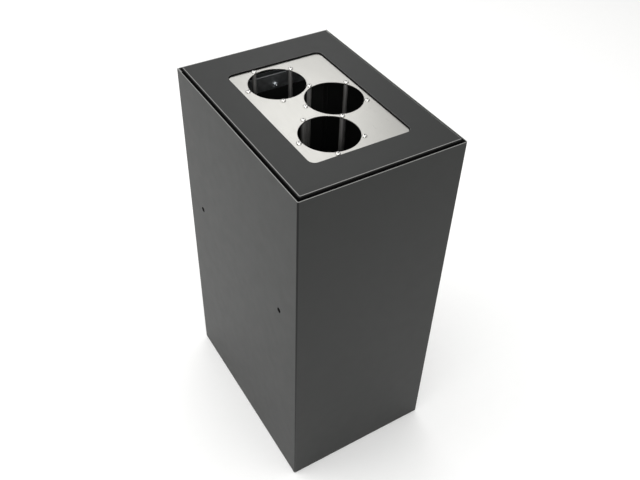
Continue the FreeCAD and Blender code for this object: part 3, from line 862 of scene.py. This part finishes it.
def build_rear_angle(sizes):
    """The plated angle on the rear panel, folded, with broken edges and a hole for each stud."""
    low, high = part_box("rear_angle")
    model = bmesh.new()
    corners = [(high.y, low.z), (high.y, high.z), (low.y, high.z)]
    line = [model.verts.new((low.x, y, z)) for y, z in corners]
    for pair in zip(line, line[1:]):
        model.edges.new(pair)
    bmesh.ops.bevel(model, geom=line[1:2], offset=sizes.fold, offset_type="OFFSET", segments=6,
                    profile=0.5, affect="VERTICES", material=-1)
    drawn = bmesh.ops.extrude_edge_only(model, edges=model.edges[:])["geom"]
    ends = [item for item in drawn if isinstance(item, bmesh.types.BMVert)]
    bmesh.ops.translate(model, vec=(high.x - low.x, 0, 0), verts=ends)
    model.normal_update()
    wall = max((face for face in model.faces if abs(face.normal.y) > FLAT),
               key=lambda face: face.calc_area())
    outline = wall.edges[:]
    bmesh.ops.delete(model, geom=[wall], context="FACES_ONLY")
    turn = Matrix.Rotation(math.radians(90), 4, "X")
    for stud_low, stud_high in solids_of("angle_studs"):
        centre = middle(stud_low, stud_high)
        radius = (stud_high.x - stud_low.x) / 2 + sizes.stud_play
        spot = Matrix.Translation((centre.x, high.y, centre.z)) @ turn
        made = bmesh.ops.create_circle(model, cap_ends=False, radius=radius, segments=24,
                                       matrix=spot)
        outline += edges_among(made["verts"])
    bmesh.ops.triangle_fill(model, edges=outline, use_beauty=True, normal=(0, 1, 0))
    bmesh.ops.recalc_face_normals(model, faces=model.faces[:])
    if faces_inwards(model, Vector((0, low.y, low.z))):
        bmesh.ops.reverse_faces(model, faces=model.faces[:])
    bmesh.ops.solidify(model, geom=model.faces[:], thickness=sizes.sheet)
    round_off(model, sharp_edges(model), sizes.cut_edge, 3)
    mesh = as_mesh(model, "rear_angle_plated")
    shade_sheet(mesh)
    # Painted highlight along the angle's top fold
    mark_faces(mesh, PAINTED_LIGHT, lambda face: face.center.z > high.z - sizes.sheet
              and face.normal.z < FLAT)
    place_piece(mesh, "rear_angle")


def hex_nut(flats, height, bore, edge):
    """A nut on the origin with chamfered corners and a round bore, rising along Z."""
    model = bmesh.new()
    corner = flats / math.sqrt(3)
    outline = ring(model, 0, 0, 0, corner, 6)
    outline += ring(model, 0, 0, 0, bore, 24)
    bmesh.ops.triangle_fill(model, edges=outline, use_beauty=True, normal=(0, 0, -1))
    bmesh.ops.recalc_face_normals(model, faces=model.faces[:])
    if model.faces[:][0].normal.z > 0:
        bmesh.ops.reverse_faces(model, faces=model.faces[:])
    bmesh.ops.solidify(model, geom=model.faces[:], thickness=height)
    round_off(model, sharp_edges(model, 80), edge, 2)
    mesh = as_mesh(model, "nut")
    shade_turned(mesh, 25)
    return mesh


def thread_profile(radius, pitch, low, high):
    """Crests and roots of a thread, drawn as closed ridges, from low to high."""
    depth = 0.5 * pitch
    points = []
    height = low + pitch
    while height < high - pitch:
        points += [(radius - depth, height - pitch / 2), (radius, height)]
        height += pitch
    return points


def build_rear_fastenings(sizes):
    """The weld studs of the rear angle and their nuts."""
    studs = solids_of("angle_studs")
    nuts = solids_of("angle_nuts")
    low, high = studs[0]
    radius = (high.x - low.x) / 2
    length = high.y - low.y
    model = bmesh.new()
    profile = [(0, 0), (radius, 0)]
    profile += thread_profile(radius, sizes.stud_pitch, 0, length)
    profile += [(radius, length - 0.4 * MM), (radius - 0.4 * MM, length), (0, length)]
    turned(model, profile, 24)
    tidy_turned(model)
    stud = as_mesh(model, "stud")
    shade_turned(stud, 50)
    forward = Matrix.Rotation(math.radians(90), 4, "X")
    places = []
    for low, high in studs:
        centre = middle(low, high)
        places.append(Matrix.Translation((centre.x, high.y, centre.z)) @ forward)
    place_piece(repeat(stud, places, "angle_studs_threaded"), "angle_studs")
    low, high = nuts[0]
    flats = min(high.x - low.x, high.z - low.z)
    nut = hex_nut(flats, high.y - low.y, radius + 0.05 * MM, 0.25 * MM)
    places = []
    for low, high in nuts:
        centre = middle(low, high)
        places.append(Matrix.Translation((centre.x, high.y, centre.z)) @ forward)
    place_piece(repeat(nut, places, "angle_nuts_hex"), "angle_nuts")


def build_feet(sizes):
    """The four nylon glides with their threaded studs, and the nuts inside the base pan."""
    pads = solids_of("feet")
    nuts = solids_of("foot_nuts")
    low, high = pads[0]
    radius = (high.x - low.x) / 2
    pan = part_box("base_pan")[0].z
    stud = sizes.foot_stud / 2
    top = high.z
    profile = [(0, 0.6 * MM), (radius * 0.55, 0.6 * MM), (radius * 0.62, 0)]
    profile += [(radius - 1.5 * MM, 0), (radius - 0.5 * MM, 0.5 * MM), (radius, 1.6 * MM)]
    profile += [(radius, pan - 3.5 * MM), (radius - 0.7 * MM, pan - 2.5 * MM)]
    profile += [(stud * 1.9, pan - 1.2 * MM), (stud * 1.7, pan), (stud, pan)]
    profile += thread_profile(stud, 1.25 * MM, pan, top)
    profile += [(stud, top - 0.8 * MM), (stud - 0.8 * MM, top), (0, top)]
    model = bmesh.new()
    turned(model, profile, 48)
    tidy_turned(model)
    pad = as_mesh(model, "pad")
    shade_turned(pad, 40)
    places = []
    for low, high in pads:
        centre = middle(low, high)
        places.append(Matrix.Translation((centre.x, centre.y, low.z)))
    place_piece(repeat(pad, places, "glides_moulded"), "feet")
    low, high = nuts[0]
    flats = min(high.x - low.x, high.y - low.y)
    nut = hex_nut(flats, high.z - low.z, stud + 0.05 * MM, 0.5 * MM)
    places = []
    for low, high in nuts:
        centre = middle(low, high)
        places.append(Matrix.Translation((centre.x, centre.y, low.z)))
    place_piece(repeat(nut, places, "foot_nuts_hex"), "foot_nuts")


def build_buffers(sizes):
    """The rubber buffers that the closed lid rests on."""
    caps = solids_of("lid_buffers")
    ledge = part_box("front_ledge")[1].z
    low, high = caps[0]
    radius = (high.x - low.x) / 2
    stem = 2.0 * MM
    height = high.z - ledge
    root = low.z - ledge
    profile = [(0, root), (stem - 0.4 * MM, root), (stem, root + 0.8 * MM), (stem, 0)]
    profile += [(radius - 0.4 * MM, 0), (radius, 0.4 * MM), (radius, height - 1.4 * MM)]
    profile += [(radius - 0.3 * MM, height - 0.7 * MM), (radius - 0.9 * MM, height - 0.2 * MM)]
    profile += [(radius - 1.6 * MM, height), (0, height)]
    model = bmesh.new()
    turned(model, profile, 32)
    tidy_turned(model)
    cap = as_mesh(model, "cap")
    shade_turned(cap, 45)
    places = []
    for low, high in caps:
        centre = middle(low, high)
        places.append(Matrix.Translation((centre.x, centre.y, ledge)))
    place_piece(repeat(cap, places, "lid_buffers_rubber"), "lid_buffers")


def build_stage(stage):
    """A matt floor, a white surround, three softboxes and the camera."""
    model = bmesh.new()
    bmesh.ops.create_grid(model, x_segments=2, y_segments=2, size=stage.floor_size / 2)
    floor = bpy.data.objects.new("studio_floor", as_mesh(model, "studio_floor"))
    bpy.context.scene.collection.objects.link(floor)
    floor.data.materials.append(studio_paint(stage.floor_colour))
    world = bpy.data.worlds.new("studio_surround")
    world.use_nodes = True
    world.node_tree.nodes["Background"].inputs["Color"].default_value = (1, 1, 1, 1)
    world.node_tree.nodes["Background"].inputs["Strength"].default_value = stage.sky
    bpy.context.scene.world = world
    softbox("overhead_softbox", (-0.5, 1.4, 3.6), (-0.5, 1.4, 0), (6.2, 6.8), stage.overhead_power)
    softbox("side_softbox", (-2.3, 1.2, 1.7), (0, 0, 0.45), (1.8, 1.8), stage.side_power)
    softbox("rear_softbox", (1.0, 1.75, 2.1), (0, 0, 0.75), (0.7, 0.45), stage.rear_power)
    softbox("front_softbox", (-1.2, -2.2, 2.1), (0, 0, 0.75), (0.9, 0.9), stage.front_power)
    bpy.context.scene.view_settings.view_transform = "Standard"
    lens = bpy.data.cameras.new("studio_camera")
    lens.sensor_width = 36
    lens.lens = stage.lens
    camera = bpy.data.objects.new("studio_camera", lens)
    bpy.context.scene.collection.objects.link(camera)
    turn = (Matrix.Rotation(stage.azimuth, 4, "Z")
            @ Matrix.Rotation(math.pi / 2 - stage.elevation, 4, "X")
            @ Matrix.Rotation(stage.roll, 4, "Z"))
    back = turn @ Vector((0, 0, stage.distance))
    camera.matrix_world = Matrix.Translation(Vector(stage.target) + back) @ turn
    bpy.context.scene.camera = camera


def studio_paint(colour):
    """Matt emulsion on the studio floor, rolled, with 30 mm clouds hardly lighter or darker."""
    material, place = new_material("studio_matt_paint", colour)
    return finish_shader(material, {
        "Base Color": varied_colour(material, place, colour, 0.01, 30.0),
        "Roughness": 0.9, "Specular IOR Level": 0.2})


def softbox(name, position, target, size, power):
    """A rectangular softbox at a position, facing a target."""
    light = bpy.data.lights.new(name, "AREA")
    light.shape = "RECTANGLE"
    light.size, light.size_y = size
    light.energy = power
    lamp = bpy.data.objects.new(name, light)
    bpy.context.scene.collection.objects.link(lamp)
    aim = Vector(target) - Vector(position)
    lamp.matrix_world = (Matrix.Translation(position)
                         @ aim.to_track_quat("-Z", "Y").to_matrix().to_4x4())


# Operators

class StationOperator:
    """What the station's operators share."""
    bl_options = {"REGISTER", "UNDO"}


class STATION_OT_casing(StationOperator, bpy.types.Operator):
    """Fold the coated casing and its rear panel"""
    bl_idname = "station.casing"
    bl_label = "Casing"

    def execute(self, context):
        build_casing(context.scene.station_sizes)
        build_rear_panel(context.scene.station_sizes)
        return {"FINISHED"}


class STATION_OT_lid(StationOperator, bpy.types.Operator):
    """Form the hinged lid frame"""
    bl_idname = "station.lid"
    bl_label = "Lid frame"

    def execute(self, context):
        build_lid(context.scene.station_sizes)
        return {"FINISHED"}


class STATION_OT_plates(StationOperator, bpy.types.Operator):
    """Cut and brush the cage's two plates"""
    bl_idname = "station.plates"
    bl_label = "Cage plates"

    def execute(self, context):
        build_plates(context.scene.station_sizes)
        return {"FINISHED"}


class STATION_OT_rods(StationOperator, bpy.types.Operator):
    """Turn the guide rods"""
    bl_idname = "station.rods"
    bl_label = "Guide rods"

    def execute(self, context):
        build_rods(context.scene.station_sizes)
        return {"FINISHED"}


class STATION_OT_screws(StationOperator, bpy.types.Operator):
    """Form the button-head screws"""
    bl_idname = "station.screws"
    bl_label = "Button-head screws"

    def execute(self, context):
        build_screws(context.scene.station_sizes)
        return {"FINISHED"}


class STATION_OT_fastenings(StationOperator, bpy.types.Operator):
    """Fold the rear angle, thread its studs and form their nuts"""
    bl_idname = "station.fastenings"
    bl_label = "Rear angle and its studs"

    def execute(self, context):
        build_rear_angle(context.scene.station_sizes)
        build_rear_fastenings(context.scene.station_sizes)
        return {"FINISHED"}


class STATION_OT_feet(StationOperator, bpy.types.Operator):
    """Mould the glides and form their nuts"""
    bl_idname = "station.feet"
    bl_label = "Glides"

    def execute(self, context):
        build_feet(context.scene.station_sizes)
        return {"FINISHED"}


class STATION_OT_buffers(StationOperator, bpy.types.Operator):
    """Mould the lid's rubber buffers"""
    bl_idname = "station.buffers"
    bl_label = "Lid buffers"

    def execute(self, context):
        build_buffers(context.scene.station_sizes)
        return {"FINISHED"}


class STATION_OT_finishes(StationOperator, bpy.types.Operator):
    """Give every piece kept from the construction its finish"""
    bl_idname = "station.finishes"
    bl_label = "Finishes"

    def execute(self, context):
        for node, piece in frame["nodes"].items():
            for holder in piece.material_slots:
                holder.material = material_for(node_slot(node))
        return {"FINISHED"}


class STATION_OT_stage(StationOperator, bpy.types.Operator):
    """Set up the floor, the softboxes and the camera"""
    bl_idname = "station.stage"
    bl_label = "Studio"

    def execute(self, context):
        build_stage(context.scene.station_stage)
        return {"FINISHED"}


OPERATORS = (STATION_OT_finishes, STATION_OT_casing, STATION_OT_lid, STATION_OT_plates,
             STATION_OT_rods, STATION_OT_screws, STATION_OT_fastenings, STATION_OT_feet,
             STATION_OT_buffers, STATION_OT_stage)


class STATION_PT_panel(bpy.types.Panel):
    """The station's pieces in the order they are built"""
    bl_idname = "STATION_PT_panel"
    bl_label = "Cup recycling station"
    bl_space_type = "VIEW_3D"
    bl_region_type = "UI"
    bl_category = "Station"

    def draw(self, context):
        for operator in OPERATORS:
            self.layout.operator(operator.bl_idname)
        for group in (context.scene.station_finishes, context.scene.station_sizes,
                      context.scene.station_stage):
            box = self.layout.box()
            for name in group.__annotations__:
                box.prop(group, name)


GROUPS = {"station_finishes": StationFinishes, "station_sizes": StationSizes,
          "station_stage": StationStage}
CLASSES = (*GROUPS.values(), *OPERATORS, STATION_PT_panel)


def register():
    for item in CLASSES:
        bpy.utils.register_class(item)
    for name, group in GROUPS.items():
        setattr(bpy.types.Scene, name, bpy.props.PointerProperty(type=group))


def unregister():
    for name in GROUPS:
        delattr(bpy.types.Scene, name)
    for item in reversed(CLASSES):
        bpy.utils.unregister_class(item)


def main():
    register()
    for operator in OPERATORS:
        group, name = operator.bl_idname.split(".")
        getattr(getattr(bpy.ops, group), name)()


if __name__ == "__main__":
    main()
